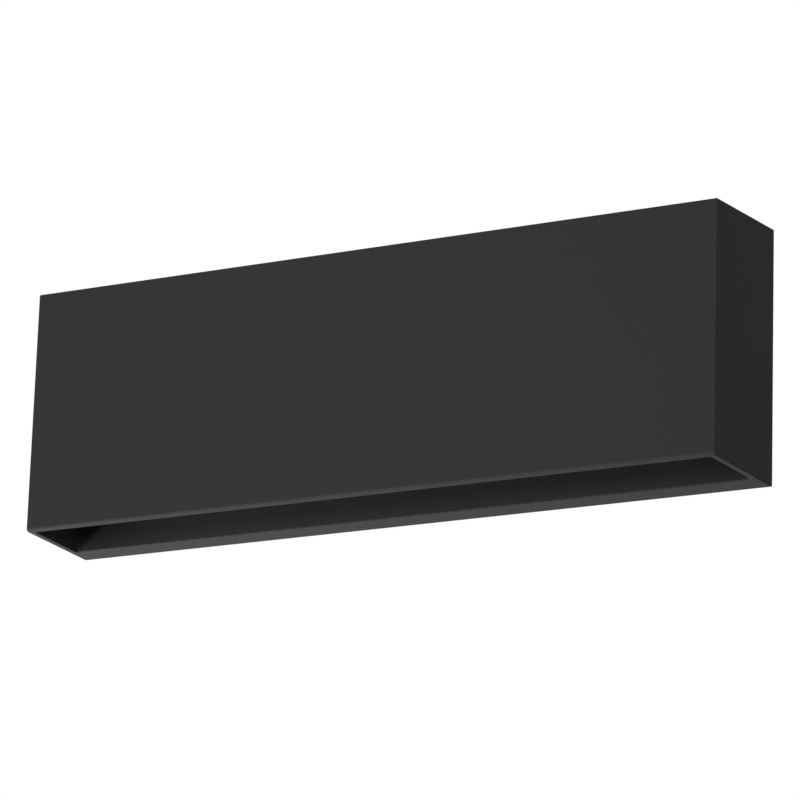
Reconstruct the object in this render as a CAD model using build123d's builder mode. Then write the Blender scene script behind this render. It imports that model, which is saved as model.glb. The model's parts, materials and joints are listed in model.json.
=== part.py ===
"""Outdoor wall light: a slim cast box that slides onto a wall bracket and shines down from a recessed lens.

Millimetres. The origin is on the wall, midway between the bracket's two junction-box slots.
X runs along the light, Y points into the wall and Z points up.
"""

import os

from build123d import *

os.makedirs("parts", exist_ok=True)

# Housing: one aluminium casting with a light chamber and, behind a partition, a wiring space
housing_width = 610.0
housing_height = 201.0
housing_depth = 92.0  # front face to wall
end_draft = 4.2  # each end leans in this far from the wall to the front face
face_draft = 2.2  # the top and the bottom likewise
front_wall = 5.5
end_wall = 6.0
top_wall = 6.0
back_floor = 5.0  # closes the wiring space underneath
partition = 3.0
wiring_depth = 20.0  # wall to the partition
wall_gap = 0.5  # back edge of the casting to the wall
edge_radius = 0.8  # outer edges
lip_radius = 3.0  # lower front edge
mouth_radius = 1.2  # inner edge of the light opening
rim_land = 0.2  # least flat left on the rim between its two rounded edges
chamber_corner = 2.0  # inside corners of both chambers

# Foam strip in a groove round the back edge
groove_inset = 1.2  # outer face to the groove
groove_width = 2.2
groove_depth = 2.0
groove_corner = 3.0
groove_inner_corner = 1.0
gasket_clearance = 0.1

# Wall bracket: folded steel sheet with a flange along its top and bottom
bracket_width = 300.0
bracket_sheet = 1.5
bracket_front_gap = 3.0  # flange's front edge to the partition
bracket_bend = 1.5  # inside radius of the fold
bracket_top_gap = 0.25
bracket_bottom_gap = 0.75
bracket_corner = 6.0
wire_hole = 50.0
box_slot_spacing = 88.9  # junction-box screws, 3.5 in apart
box_slot_length = 16.0
box_slot_width = 5.0
anchor_hole = 5.5
anchor_end_inset = 20.0
anchor_edge_inset = 18.0
ground_x = 64.0
ground_z = 42.0
ground_collar = 8.0
ground_collar_height = 1.5
ground_washer_height = 1.6
ground_tip_gap = 0.3  # screw end to the wall

# Screws
m3_shank = 3.0
m3_head = 5.5
m3_head_height = 1.8
m4_shank = 4.0
m4_head = 8.0
m4_head_height = 2.4
hole_clearance = 0.2  # radial, in a clamped piece
thread_clearance = 0.05  # radial, in a tapped piece
washer_height = 0.8
washer_rim = 0.5  # washer stands out past the head
nut_wall = 2.5
nut_height = 4.0
screw_tail = 1.0  # screw end past its nut

# Lock screws clamp the casting's top wall to the bracket's top flange
lock_end_inset = 30.0  # lock screw to the bracket's end
lock_y = -8.0
notch_clearance = 0.5
notch_depth = 3.2
slot_clearance = 0.3

# Light engine, hung from screw pillars in the light chamber
recess_depth = 38.0  # lower rim to the bezel
bezel_height = 7.0
bezel_gap = 0.5  # to the chamber walls
bezel_corner = 2.5
bezel_frame = 7.5  # along the sides
bezel_end_frame = 13.0
bezel_ledge = 4.0  # carries the diffuser
window_chamfer = 1.2
window_corner = 3.0
pocket_gap = 0.5
pocket_corner = 4.0
head_sink = 0.3  # bezel screw heads lie this far below the face
pillar = 9.0
pillar_inset = 4.7  # axis to the side wall
pillar_end_inset = 9.5  # axis to the end wall
pillar_count = 4
pillar_pilot = 10.0
bezel_screw_grip = 8.0  # thread in the pillar
diffuser_sheet = 3.0
seal_height = 1.0
seal_width = 3.0
seal_corner = 1.5  # inside
tray_sheet = 2.0
pan_height = 18.0
pan_gap = 0.5  # to the pillars
pan_corner = 4.0  # inside
pan_bend = 1.0  # inside

# Light-emitting boards under the tray
board_side_gap = 9.0  # to the pan's side
board_sheet = 1.6
board_gap = 6.0  # between the two boards
board_end_gap = 5.0
pad_sheet = 0.5
chip_pitch = 11.0
chip_size = 3.0
chip_height = 0.7
board_screw_chips = 3  # chips past the outer screws
board_screw_thread = 1.8
link_length = 16.0
link_width = 7.0
link_height = 3.0
link_chamfer = 0.6
socket_length = 14.0
socket_depth = 7.0
socket_height = 5.0

# Driver on top of the tray
driver_length = 170.0
driver_side_gap = 2.3  # to the pan's outer side
driver_height = 28.5
driver_corner = 3.0
driver_foot_sheet = 1.5
driver_foot_tab = 15.0
driver_cap_sheet = 3.0
driver_screw_inset = 5.0
driver_screw_thread = 3.0

# Leads, grommets and terminals
lead = 2.0
lead_clearance = 0.1
lead_wall_gap = 5.3  # lead axis at the driver to the pan's inner side
supply_lead_pitch = 10.0
supply_lead_rise = 10.0  # lower supply lead above the driver's foot
supply_bend = 12.0
grommet_pillar_gap = 33.0  # pillar axis to the grommet's axis
output_lead_rise = 9.0
output_bend = 7.0
output_run = 30.0
socket_bend = 3.0
grommet_wall = 2.9  # outside the lead bores
grommet_lip = 2.0
grommet_lip_height = 1.5
tray_grommet = 5.0
tray_grommet_lip = 1.2
tray_grommet_lip_height = 0.8
tray_grommet_space = 0.6
block_depth = 18.0
block_height = 13.0
block_end = 7.0  # outer pole to the end of the block
block_corner = 1.0
wire_height = 7.5  # wire axis above the partition
insert_tube = 5.0
insert_bore = 3.2
insert_length = 14.0
insert_clearance = 0.1
terminal_screw = 3.5
terminal_screw_spacing = 8.0
terminal_screw_sink = 0.4
block_screw_thread = 2.2
block_screw_sink = 0.4
lead_in_block = 5.0
lead_in_socket = 4.0
earth_boss = 10.0
earth_boss_height = 1.5
earth_run = 52.0  # block's middle to the earth boss
earth_screw_thread = 3.5
pilot_margin = 0.3  # blind hole past the screw's end
ring_sheet = 0.8
ring_rim = 2.5
barrel_wall = 0.7
barrel_length = 6.0
barrel_reach = 6.0  # screw axis to the barrel
earth_bend = 8.0
earth_level_run = 4.0  # barrel to the lead's slope
earth_slope_run = 12.0
tongue_width = 4.0

# Housing levels
bottom_z = -housing_height / 2
top_z = housing_height / 2
ceiling_z = top_z - top_wall
partition_y = -wiring_depth
chamber_back_y = partition_y - partition
chamber_front_y = front_wall - housing_depth
chamber_depth = chamber_back_y - chamber_front_y
chamber_y = (chamber_back_y + chamber_front_y) / 2
end_lean = end_draft / (housing_depth - wall_gap)
chamber_back_length = housing_width - 2 * (end_wall - end_lean * (chamber_back_y + wall_gap))
chamber_length = chamber_back_length - 2 * end_lean * chamber_depth  # in front, where it is shortest
wiring_length = housing_width - 2 * end_wall
wiring_height = housing_height - top_wall - back_floor
wiring_z = (back_floor - top_wall) / 2
outer_radius = min(edge_radius, min(front_wall, end_wall) - mouth_radius - rim_land)
front_lip_radius = min(lip_radius, front_wall - mouth_radius - rim_land)

# Light engine levels
bezel_z = bottom_z + recess_depth
lip_z = bezel_z + bezel_height
seat_z = lip_z + tray_sheet
web_top_z = lip_z + pan_height
web_z = web_top_z - tray_sheet
pad_z = web_z - pad_sheet
board_z = pad_z - board_sheet
bezel_length = chamber_length - 2 * bezel_gap
bezel_width = chamber_depth - 2 * bezel_gap
pocket_length = bezel_length - 2 * bezel_end_frame
pocket_width = bezel_width - 2 * bezel_frame
window_length = pocket_length - 2 * bezel_ledge
window_width = pocket_width - 2 * bezel_ledge
diffuser_length = pocket_length - 2 * pocket_gap
diffuser_width = pocket_width - 2 * pocket_gap
diffuser_z = lip_z - seal_height - diffuser_sheet
pillar_rows = chamber_depth - 2 * pillar_inset
pillar_span = chamber_length - 2 * pillar_end_inset
pillar_pitch = pillar_span / (pillar_count - 1)
pan_length = pillar_span - pillar - 2 * pan_gap
pan_width = pillar_rows - pillar - 2 * pan_gap
pan_inner_length = pan_length - 2 * tray_sheet
pan_inner_width = pan_width - 2 * tray_sheet
board_width = pan_inner_width - 2 * board_side_gap
board_length = (pan_inner_length - board_gap) / 2 - board_end_gap
board_x = (board_gap + board_length) / 2
chip_count = 2 * int((board_length - link_length) / (2 * chip_pitch))
board_screw_spacing = (chip_count / 2 - board_screw_chips) * chip_pitch

# Driver and lead places
foot_top_z = web_top_z + driver_foot_sheet
driver_width = pan_width - 2 * driver_side_gap
cap_x = driver_length / 2 + driver_cap_sheet
foot_length = 2 * cap_x + 2 * driver_foot_tab
driver_screw_x = foot_length / 2 - driver_screw_inset
driver_screw_y = driver_width / 2 - driver_screw_inset
lead_hole = lead + 2 * lead_clearance
lead_y = chamber_y + pan_inner_width / 2 - lead_wall_gap
neutral_z = web_top_z + supply_lead_rise
live_z = neutral_z + supply_lead_pitch
earth_z = live_z + supply_lead_pitch
grommet = supply_lead_pitch + lead_hole + 2 * grommet_wall
grommet_x = -pillar_pitch / 2 - grommet_pillar_gap
grommet_z = (live_z + neutral_z) / 2
wire_y = partition_y + wire_height
output_x = cap_x + output_run
output_z = web_top_z + output_lead_rise
output_lead_pitch = tray_grommet + 2 * tray_grommet_lip + tray_grommet_space
output_places = [(output_x + shift, output_z + shift) for shift in (0, output_lead_pitch)]
socket_x = output_x + output_lead_pitch / 2
socket_back_y = chamber_y + board_width / 2
socket_hole_z = board_z - socket_height / 2
block_length = 2 * supply_lead_pitch + 2 * block_end
earth_x = -earth_run
block_top_y = partition_y + block_height
ring_y = partition_y + earth_boss_height
barrel_x = earth_x + barrel_reach
barrel = lead_hole + 2 * barrel_wall
barrel_y = ring_y + barrel / 2

# Bracket and lock places
bracket_flange = wiring_depth - bracket_front_gap
bracket_top_z = ceiling_z - bracket_top_gap
bracket_bottom_z = bottom_z + back_floor + bracket_bottom_gap
anchor_spacing_x = bracket_width - 2 * anchor_end_inset
anchor_spacing_z = 2 * (min(bracket_top_z, -bracket_bottom_z) - anchor_edge_inset)
lock_washer = m4_head + 2 * washer_rim
notch_width = lock_washer + 2 * notch_clearance
lock_slot = m4_shank + 2 * slot_clearance
lock_seat_z = top_z - notch_depth
m3_hole = m3_shank + 2 * hole_clearance
m4_hole = m4_shank + 2 * hole_clearance
m3_tap = m3_shank + 2 * thread_clearance
m4_tap = m4_shank + 2 * thread_clearance

facing_down = (0, 0, -1)
facing_wall = (0, 1, 0)
facing_front = (0, -1, 0)

lock_points = [(side * (bracket_width / 2 - lock_end_inset), lock_y) for side in (-1, 1)]
block_screw_points = [(0, live_z + side * supply_lead_pitch / 2) for side in (-1, 1)]
driver_screw_points = [(side * driver_screw_x, chamber_y - side * driver_screw_y) for side in (-1, 1)]
board_screw_points = [
    (side * board_x + place * board_screw_spacing, chamber_y) for side in (-1, 1) for place in (-1, 0, 1)
]


def back_ring(inset, width):
    """A ring that follows the casting's outline, the given distance inside it."""
    inner = inset + width
    with BuildSketch() as ring:
        RectangleRounded(housing_width - 2 * inset, housing_height - 2 * inset, groove_corner)
        RectangleRounded(
            housing_width - 2 * inner,
            housing_height - 2 * inner,
            groove_inner_corner,
            mode=Mode.SUBTRACT,
        )
    return ring.sketch


def chamber_plan(gap, corner):
    """The light chamber's outline, drawn in by a gap; its ends lean in with the casting's."""
    front_x = chamber_length / 2 - gap * (1 - end_lean)
    back_x = chamber_back_length / 2 - gap * (1 + end_lean)
    front_y = chamber_front_y + gap
    back_y = chamber_back_y - gap
    with BuildSketch() as plan:
        with BuildLine():
            Polyline(
                (-front_x, front_y),
                (front_x, front_y),
                (back_x, back_y),
                (-back_x, back_y),
                close=True,
            )
        make_face()
        fillet(plan.vertices(), corner)
    return plan.sketch


def chamber_grid():
    """The places of the screw pillars, seen from below."""
    return GridLocations(pillar_pitch, pillar_rows, pillar_count, 2)


def screw_group(seats, shank, head, head_height, length):
    """Screws on the seat planes: each head along its plane's normal, each shank against it."""
    with BuildPart() as group:
        with BuildSketch(*seats):
            Circle(head / 2)
        extrude(amount=head_height)
        with BuildSketch(*seats):
            Circle(shank / 2)
        extrude(amount=-length)
    return group.part


def washer_group(seats, outer, bore, height):
    """Flat rings on the seat planes."""
    with BuildPart() as group:
        with BuildSketch(*seats):
            Circle(outer / 2)
            Circle(bore / 2, mode=Mode.SUBTRACT)
        extrude(amount=height)
    return group.part


def round_lead(points, bends):
    """A round lead along straight runs joined by arcs."""
    with BuildPart() as tube:
        with BuildLine() as route:
            FilletPolyline(*points, radius=bends)
        with BuildSketch(Plane(origin=route.wire() @ 0, z_dir=route.wire() % 0)):
            Circle(lead / 2)
        sweep(path=route.wire())
    return tube.part


def lipped_grommet(plane, body, sheet, lip, lip_height, bores):
    """A grommet in a sheet whose near face is the plane, with a lead bore at each given place."""
    with BuildPart() as bush:
        with BuildSketch(plane):
            Circle(body / 2)
        extrude(amount=sheet)
        with BuildSketch(plane.offset(-lip_height), plane.offset(sheet)):
            Circle(body / 2 + lip)
        extrude(amount=lip_height)
        with BuildSketch(plane.offset(-lip_height)):
            with Locations(*bores):
                Circle(lead_hole / 2)
        extrude(amount=sheet + 2 * lip_height, mode=Mode.SUBTRACT)
    return bush.part


def driver_section(x, length):
    """A length of the driver's section, square at the foot and rounded at the top."""
    with BuildPart() as block:
        with BuildSketch(Plane.YZ.offset(x)) as profile:
            with Locations((chamber_y, foot_top_z)):
                Rectangle(driver_width, driver_height, align=(Align.CENTER, Align.MIN))
            fillet(profile.vertices().group_by(Axis.Y)[-1], driver_corner)
        extrude(amount=length)
    return block.part


def finish(piece, name):
    """Label a finished piece and write it."""
    piece.part.label = name
    export_step(piece.part, f"parts/{name}.step")


# Housing
with BuildPart() as housing:
    with BuildSketch(Plane.XZ.offset(wall_gap)):
        Rectangle(housing_width, housing_height)
    with BuildSketch(Plane.XZ.offset(housing_depth)):
        Rectangle(housing_width - 2 * end_draft, housing_height - 2 * face_draft)
    loft()
    fillet(housing.faces().sort_by(Axis.Y)[0].edges().sort_by(Axis.Z)[0], front_lip_radius)
    back_edges = housing.faces().sort_by(Axis.Y)[-1].edges()
    ends = housing.faces().sort_by(Axis.X)
    end_edges = ends[0].edges() + ends[-1].edges()
    upper_front_edge = housing.faces().sort_by(Axis.Y)[0].edges().sort_by(Axis.Z)[-1:]
    fillet(end_edges - back_edges + upper_front_edge, outer_radius)
    # Light chamber, open at the bottom
    with BuildSketch(Plane.XY.offset(bottom_z)):
        add(chamber_plan(0, chamber_corner))
    extrude(amount=ceiling_z - bottom_z, mode=Mode.SUBTRACT)
    fillet(housing.faces().sort_by(Axis.Z)[0].inner_wires()[0].edges(), mouth_radius)
    # Wiring space, open to the wall
    with BuildSketch(Plane.XZ.offset(wall_gap)):
        with Locations((0, wiring_z)):
            RectangleRounded(wiring_length, wiring_height, chamber_corner)
    extrude(amount=wiring_depth - wall_gap, mode=Mode.SUBTRACT)
    # Screw pillars, each joined to its wall by a web
    with BuildSketch(Plane.XY.offset(seat_z)):
        with Locations((0, chamber_y)):
            with chamber_grid():
                Circle(pillar / 2)
            with GridLocations(pillar_pitch, chamber_depth - pillar_inset, pillar_count, 2):
                Rectangle(pillar, pillar_inset)
    extrude(amount=ceiling_z - seat_z)
    with BuildSketch(Plane.XY.offset(seat_z)):
        with Locations((0, chamber_y)):
            with chamber_grid():
                Circle(m3_tap / 2)
    extrude(amount=pillar_pilot, mode=Mode.SUBTRACT)
    # Earth boss and the holes in the partition
    with BuildSketch(Plane.XZ.offset(wiring_depth)):
        with Locations((earth_x, earth_z)):
            Circle(earth_boss / 2)
    extrude(amount=-earth_boss_height)
    with BuildSketch(Plane.XZ.offset(wiring_depth - earth_boss_height)):
        with Locations((earth_x, earth_z)):
            Circle(m4_tap / 2)
    extrude(amount=earth_screw_thread + pilot_margin, mode=Mode.SUBTRACT)
    with BuildSketch(Plane.XZ.offset(wiring_depth)):
        with Locations((grommet_x, grommet_z)):
            Circle(grommet / 2)
    extrude(amount=partition, mode=Mode.SUBTRACT)
    with BuildSketch(Plane.XZ.offset(wiring_depth)):
        with Locations(*block_screw_points):
            Circle(m3_tap / 2)
    extrude(amount=block_screw_thread + pilot_margin, mode=Mode.SUBTRACT)
    # Lock notches, open to the back: a sunk seat for the washer and a slot for the shank
    for width, depth in ((notch_width, notch_depth), (lock_slot, top_wall)):
        with BuildSketch(Plane.XY.offset(top_z)):
            with Locations(*lock_points):
                Circle(width / 2)
                with Locations((0, -lock_y / 2)):
                    Rectangle(width, -lock_y)
        extrude(amount=-depth, mode=Mode.SUBTRACT)
    # Groove for the foam strip
    with BuildSketch(Plane.XZ.offset(wall_gap)):
        add(back_ring(groove_inset, groove_width))
    extrude(amount=groove_depth, mode=Mode.SUBTRACT)
finish(housing, "housing")

# Foam strip, cut at the lock notches
with BuildPart() as wall_gasket:
    with BuildSketch(Plane.XZ):
        add(back_ring(groove_inset + gasket_clearance, groove_width - 2 * gasket_clearance))
        with Locations(*[(x, top_z) for x, y in lock_points]):
            Rectangle(notch_width + 2 * notch_clearance, 2 * top_wall, mode=Mode.SUBTRACT)
    extrude(amount=wall_gap + groove_depth)
finish(wall_gasket, "wall_gasket")

# Wall bracket
with BuildPart() as wall_bracket:
    with BuildSketch(Plane.YZ):
        with BuildLine():
            FilletPolyline(
                (-bracket_flange, bracket_bottom_z),
                (0, bracket_bottom_z),
                (0, bracket_top_z),
                (-bracket_flange, bracket_top_z),
                radius=bracket_bend + bracket_sheet,
            )
            offset(amount=bracket_sheet, side=Side.LEFT)
        make_face()
    extrude(amount=bracket_width / 2, both=True)
    flange_corners = wall_bracket.edges().filter_by(Axis.Z).group_by(SortBy.LENGTH)[0]
    fillet(flange_corners, bracket_corner)
    with BuildSketch(Plane.XZ.offset(bracket_sheet)):
        with Locations((ground_x, ground_z)):
            Circle(ground_collar / 2)
    extrude(amount=ground_collar_height)
    with BuildSketch(Plane.XZ):
        Circle(wire_hole / 2)
        with GridLocations(box_slot_spacing, 1, 2, 1):
            SlotOverall(box_slot_length, box_slot_width)
        with GridLocations(anchor_spacing_x, anchor_spacing_z, 2, 2):
            Circle(anchor_hole / 2)
        with Locations((ground_x, ground_z)):
            Circle(m4_tap / 2)
    extrude(amount=bracket_sheet + ground_collar_height, mode=Mode.SUBTRACT)
    with BuildSketch(Plane.XY.offset(bracket_top_z)):
        with Locations(*lock_points):
            Circle(m4_hole / 2)
    extrude(amount=-bracket_sheet, mode=Mode.SUBTRACT)
finish(wall_bracket, "wall_bracket")

# Clinch nuts under the top flange, and the lock screws with their washers
nut_top_z = bracket_top_z - bracket_sheet
with BuildPart() as clinch_nuts:
    nut_seats = [Plane((x, y, nut_top_z - nut_height)) for x, y in lock_points]
    add(washer_group(nut_seats, m4_tap + 2 * nut_wall, m4_tap, nut_height))
finish(clinch_nuts, "clinch_nuts")

with BuildPart() as lock_washers:
    lock_seats = [Plane((x, y, lock_seat_z)) for x, y in lock_points]
    add(washer_group(lock_seats, lock_washer, m4_hole, washer_height))
finish(lock_washers, "lock_washers")

lock_head_z = lock_seat_z + washer_height
with BuildPart() as lock_screws:
    add(screw_group(
        [seat.offset(washer_height) for seat in lock_seats],
        m4_shank,
        m4_head,
        m4_head_height,
        lock_head_z - nut_top_z + nut_height + screw_tail,
    ))
finish(lock_screws, "lock_screws")

# Ground screw and washer on the bracket's collar
ground_seat_y = -bracket_sheet - ground_collar_height
with BuildPart() as ground_washer:
    ground_seat = Plane((ground_x, ground_seat_y, ground_z), z_dir=facing_front)
    add(washer_group([ground_seat], lock_washer, m4_hole, ground_washer_height))
finish(ground_washer, "ground_washer")

with BuildPart() as ground_screw:
    add(screw_group(
        [ground_seat.offset(ground_washer_height)],
        m4_shank,
        m4_head,
        m4_head_height,
        ground_washer_height - ground_seat_y - ground_tip_gap,
    ))
finish(ground_screw, "ground_screw")

# Tray: a drawn pan with a flat lip that seats on the screw pillars
with BuildPart() as led_tray:
    with BuildSketch(Plane.XY.offset(lip_z)):
        add(chamber_plan(bezel_gap, bezel_corner))
    extrude(amount=tray_sheet)
    with BuildSketch(Plane.XY.offset(lip_z)):
        with Locations((0, chamber_y)):
            RectangleRounded(pan_length, pan_width, pan_corner + tray_sheet)
    extrude(amount=pan_height)
    fillet(led_tray.faces().sort_by(Axis.Z)[-1].edges(), pan_bend + tray_sheet)
    with BuildSketch(Plane.XY.offset(lip_z)):
        with Locations((0, chamber_y)):
            RectangleRounded(pan_inner_length, pan_inner_width, pan_corner)
    extrude(amount=pan_height - tray_sheet, mode=Mode.SUBTRACT)
    fillet(led_tray.faces().filter_by(Plane.XY).sort_by(Axis.Z)[-2].edges(), pan_bend)
    with BuildSketch(Plane.XY.offset(lip_z)):
        with Locations((0, chamber_y)):
            with chamber_grid():
                Circle(m3_hole / 2)
    extrude(amount=tray_sheet, mode=Mode.SUBTRACT)
    with BuildSketch(Plane.XY.offset(web_z)):
        with Locations(*board_screw_points, *driver_screw_points):
            Circle(m3_tap / 2)
        with Locations(*[(x, lead_y) for x, z in output_places]):
            Circle(tray_grommet / 2)
    extrude(amount=tray_sheet, mode=Mode.SUBTRACT)
finish(led_tray, "led_tray")

# Boards, each on a thermal pad, with a row of light-emitting chips
for side, name in ((-1, "left"), (1, "right")):
    with BuildPart() as led_board:
        with BuildSketch(Plane.XY.offset(board_z)):
            with Locations((side * board_x, chamber_y)):
                Rectangle(board_length, board_width)
            with Locations(*board_screw_points):
                Circle(m3_hole / 2, mode=Mode.SUBTRACT)
        extrude(amount=board_sheet)
    finish(led_board, f"led_board_{name}")

with BuildPart() as thermal_pads:
    with BuildSketch(Plane.XY.offset(pad_z)):
        with Locations((-board_x, chamber_y), (board_x, chamber_y)):
            Rectangle(board_length, board_width)
        with Locations(*board_screw_points):
            Circle(m3_hole / 2, mode=Mode.SUBTRACT)
    extrude(amount=pad_sheet)
finish(thermal_pads, "thermal_pads")

with BuildPart() as led_chips:
    with BuildSketch(Plane.XY.offset(board_z)):
        with Locations((-board_x, chamber_y), (board_x, chamber_y)):
            with GridLocations(chip_pitch, 1, chip_count, 1):
                Rectangle(chip_size, chip_size)
    extrude(amount=-chip_height)
finish(led_chips, "led_chips")

with BuildPart() as board_screws:
    add(screw_group(
        [Plane((x, y, board_z), z_dir=facing_down) for x, y in board_screw_points],
        m3_shank,
        m3_head,
        m3_head_height,
        board_sheet + pad_sheet + board_screw_thread,
    ))
finish(board_screws, "board_screws")

# Bridge between the boards, and the socket for the driver's output leads
with BuildPart() as board_link:
    with BuildSketch(Plane.XY.offset(board_z)):
        with Locations((0, chamber_y)):
            Rectangle(link_length, link_width)
    extrude(amount=-link_height)
    chamfer(board_link.faces().sort_by(Axis.Z)[0].edges(), link_chamfer)
finish(board_link, "board_link")

with BuildPart() as board_socket:
    with BuildSketch(Plane.XY.offset(board_z)):
        with Locations((socket_x, socket_back_y - socket_depth / 2)):
            Rectangle(socket_length, socket_depth)
    extrude(amount=-socket_height)
    with BuildSketch(Plane.XZ.offset(-socket_back_y)):
        with Locations(*[(x, socket_hole_z) for x, z in output_places]):
            Circle(lead_hole / 2)
    extrude(amount=lead_in_socket, mode=Mode.SUBTRACT)
finish(board_socket, "board_socket")

# Diffuser in its bezel, sealed against the tray's lip
with BuildPart() as bezel:
    with BuildSketch(Plane.XY.offset(bezel_z)):
        add(chamber_plan(bezel_gap, bezel_corner))
        with Locations((0, chamber_y)):
            RectangleRounded(window_length, window_width, window_corner, mode=Mode.SUBTRACT)
    extrude(amount=bezel_height)
    with BuildSketch(Plane.XY.offset(diffuser_z)):
        with Locations((0, chamber_y)):
            RectangleRounded(pocket_length, pocket_width, pocket_corner)
    extrude(amount=lip_z - diffuser_z, mode=Mode.SUBTRACT)
    chamfer(bezel.faces().sort_by(Axis.Z)[0].inner_wires()[0].edges(), window_chamfer)
    with Locations(Plane((0, chamber_y, bezel_z), z_dir=facing_down)):
        with chamber_grid():
            CounterBoreHole(m3_hole / 2, m3_head / 2 + hole_clearance, m3_head_height + head_sink)
finish(bezel, "bezel")

with BuildPart() as diffuser:
    with BuildSketch(Plane.XY.offset(diffuser_z)):
        with Locations((0, chamber_y)):
            RectangleRounded(diffuser_length, diffuser_width, pocket_corner)
    extrude(amount=diffuser_sheet)
finish(diffuser, "diffuser")

with BuildPart() as diffuser_seal:
    with BuildSketch(Plane.XY.offset(diffuser_z + diffuser_sheet)):
        with Locations((0, chamber_y)):
            RectangleRounded(diffuser_length, diffuser_width, pocket_corner)
            RectangleRounded(
                diffuser_length - 2 * seal_width,
                diffuser_width - 2 * seal_width,
                seal_corner,
                mode=Mode.SUBTRACT,
            )
    extrude(amount=seal_height)
finish(diffuser_seal, "diffuser_seal")

bezel_head_z = bezel_z + m3_head_height + head_sink
with BuildPart() as bezel_screws:
    with Locations((0, chamber_y, bezel_head_z)):
        with chamber_grid() as grid:
            bezel_seats = [Plane(place.position, z_dir=facing_down) for place in grid.locations]
    add(screw_group(
        bezel_seats,
        m3_shank,
        m3_head,
        m3_head_height,
        seat_z - bezel_head_z + bezel_screw_grip,
    ))
finish(bezel_screws, "bezel_screws")

# Driver: a filled case on a foot plate, closed by two end caps
with BuildPart() as driver_foot:
    with BuildSketch(Plane.XY.offset(web_top_z)):
        with Locations((0, chamber_y)):
            RectangleRounded(foot_length, driver_width, driver_corner)
        with Locations(*driver_screw_points):
            Circle(m3_hole / 2, mode=Mode.SUBTRACT)
    extrude(amount=driver_foot_sheet)
finish(driver_foot, "driver_foot")

with BuildPart() as driver_case:
    add(driver_section(-driver_length / 2, driver_length))
finish(driver_case, "driver_case")

with BuildPart() as driver_supply_cap:
    add(driver_section(-cap_x, driver_cap_sheet))
    with BuildSketch(Plane.YZ.offset(-cap_x)):
        with Locations((lead_y, live_z), (lead_y, neutral_z)):
            Circle(lead_hole / 2)
    extrude(amount=driver_cap_sheet, mode=Mode.SUBTRACT)
finish(driver_supply_cap, "driver_supply_cap")

with BuildPart() as driver_output_cap:
    add(driver_section(driver_length / 2, driver_cap_sheet))
    with BuildSketch(Plane.YZ.offset(driver_length / 2)):
        with Locations(*[(lead_y, z) for x, z in output_places]):
            Circle(lead_hole / 2)
    extrude(amount=driver_cap_sheet, mode=Mode.SUBTRACT)
finish(driver_output_cap, "driver_output_cap")

with BuildPart() as driver_screws:
    add(screw_group(
        [Plane((x, y, foot_top_z)) for x, y in driver_screw_points],
        m3_shank,
        m3_head,
        m3_head_height,
        driver_foot_sheet + driver_screw_thread,
    ))
finish(driver_screws, "driver_screws")

# Grommets
with BuildPart() as lead_grommet:
    add(lipped_grommet(
        Plane((grommet_x, partition_y, grommet_z), x_dir=(1, 0, 0), z_dir=facing_front),
        grommet,
        partition,
        grommet_lip,
        grommet_lip_height,
        [(0, -supply_lead_pitch / 2), (0, supply_lead_pitch / 2)],
    ))
finish(lead_grommet, "lead_grommet")

with BuildPart() as tray_grommets:
    for x, z in output_places:
        add(lipped_grommet(
            Plane((x, lead_y, web_top_z), z_dir=facing_down),
            tray_grommet,
            tray_sheet,
            tray_grommet_lip,
            tray_grommet_lip_height,
            [(0, 0)],
        ))
finish(tray_grommets, "tray_grommets")

# Supply leads: driver to grommet, through the partition, then along it to the terminal block
block_face_x = -block_depth / 2
for name, z in (("live_lead", live_z), ("neutral_lead", neutral_z)):
    with BuildPart() as supply_lead:
        add(round_lead(
            [
                (-driver_length / 2, lead_y, z),
                (grommet_x, lead_y, z),
                (grommet_x, wire_y, z),
                (block_face_x + lead_in_block, wire_y, z),
            ],
            [supply_bend, wire_height - grommet_lip_height],
        ))
    finish(supply_lead, name)

# Output leads: driver to grommet, down through the tray, then into the board's socket
for name, (x, z) in zip(("positive_lead", "negative_lead"), output_places):
    with BuildPart() as output_lead:
        add(round_lead(
            [
                (driver_length / 2, lead_y, z),
                (x, lead_y, z),
                (x, lead_y, socket_hole_z),
                (x, socket_back_y - lead_in_socket, socket_hole_z),
            ],
            [output_bend, socket_bend],
        ))
    finish(output_lead, name)

# Terminal block with brass inserts, its clamp screws and its fixing screws
pole_heights = [neutral_z, live_z, earth_z]
insert_top_y = wire_y + insert_tube / 2
clamp_points = [(side * terminal_screw_spacing / 2, z) for side in (-1, 1) for z in pole_heights]
with BuildPart() as terminal_block:
    with BuildSketch(Plane.XZ.offset(wiring_depth)):
        with Locations((0, live_z)):
            RectangleRounded(block_depth, block_length, block_corner)
    extrude(amount=-block_height)
    fillet(terminal_block.faces().sort_by(Axis.Y)[-1].edges(), block_corner)
    with BuildSketch(Plane.YZ.offset(block_face_x)):
        with Locations(*[(wire_y, z) for z in pole_heights]):
            Circle(insert_tube / 2 + insert_clearance)
    extrude(amount=block_depth, mode=Mode.SUBTRACT)
    with BuildSketch(Plane.XZ.offset(-block_top_y)):
        with Locations(*clamp_points):
            Circle(terminal_screw / 2 + insert_clearance)
    extrude(amount=block_top_y - wire_y, mode=Mode.SUBTRACT)
    with BuildSketch(Plane.XZ.offset(-block_top_y)):
        with Locations(*block_screw_points):
            Circle(m3_hole / 2)
    extrude(amount=block_height, mode=Mode.SUBTRACT)
    with BuildSketch(Plane.XZ.offset(-block_top_y)):
        with Locations(*block_screw_points):
            Circle(m3_head / 2 + hole_clearance)
    extrude(amount=m3_head_height + block_screw_sink, mode=Mode.SUBTRACT)
finish(terminal_block, "terminal_block")

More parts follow.
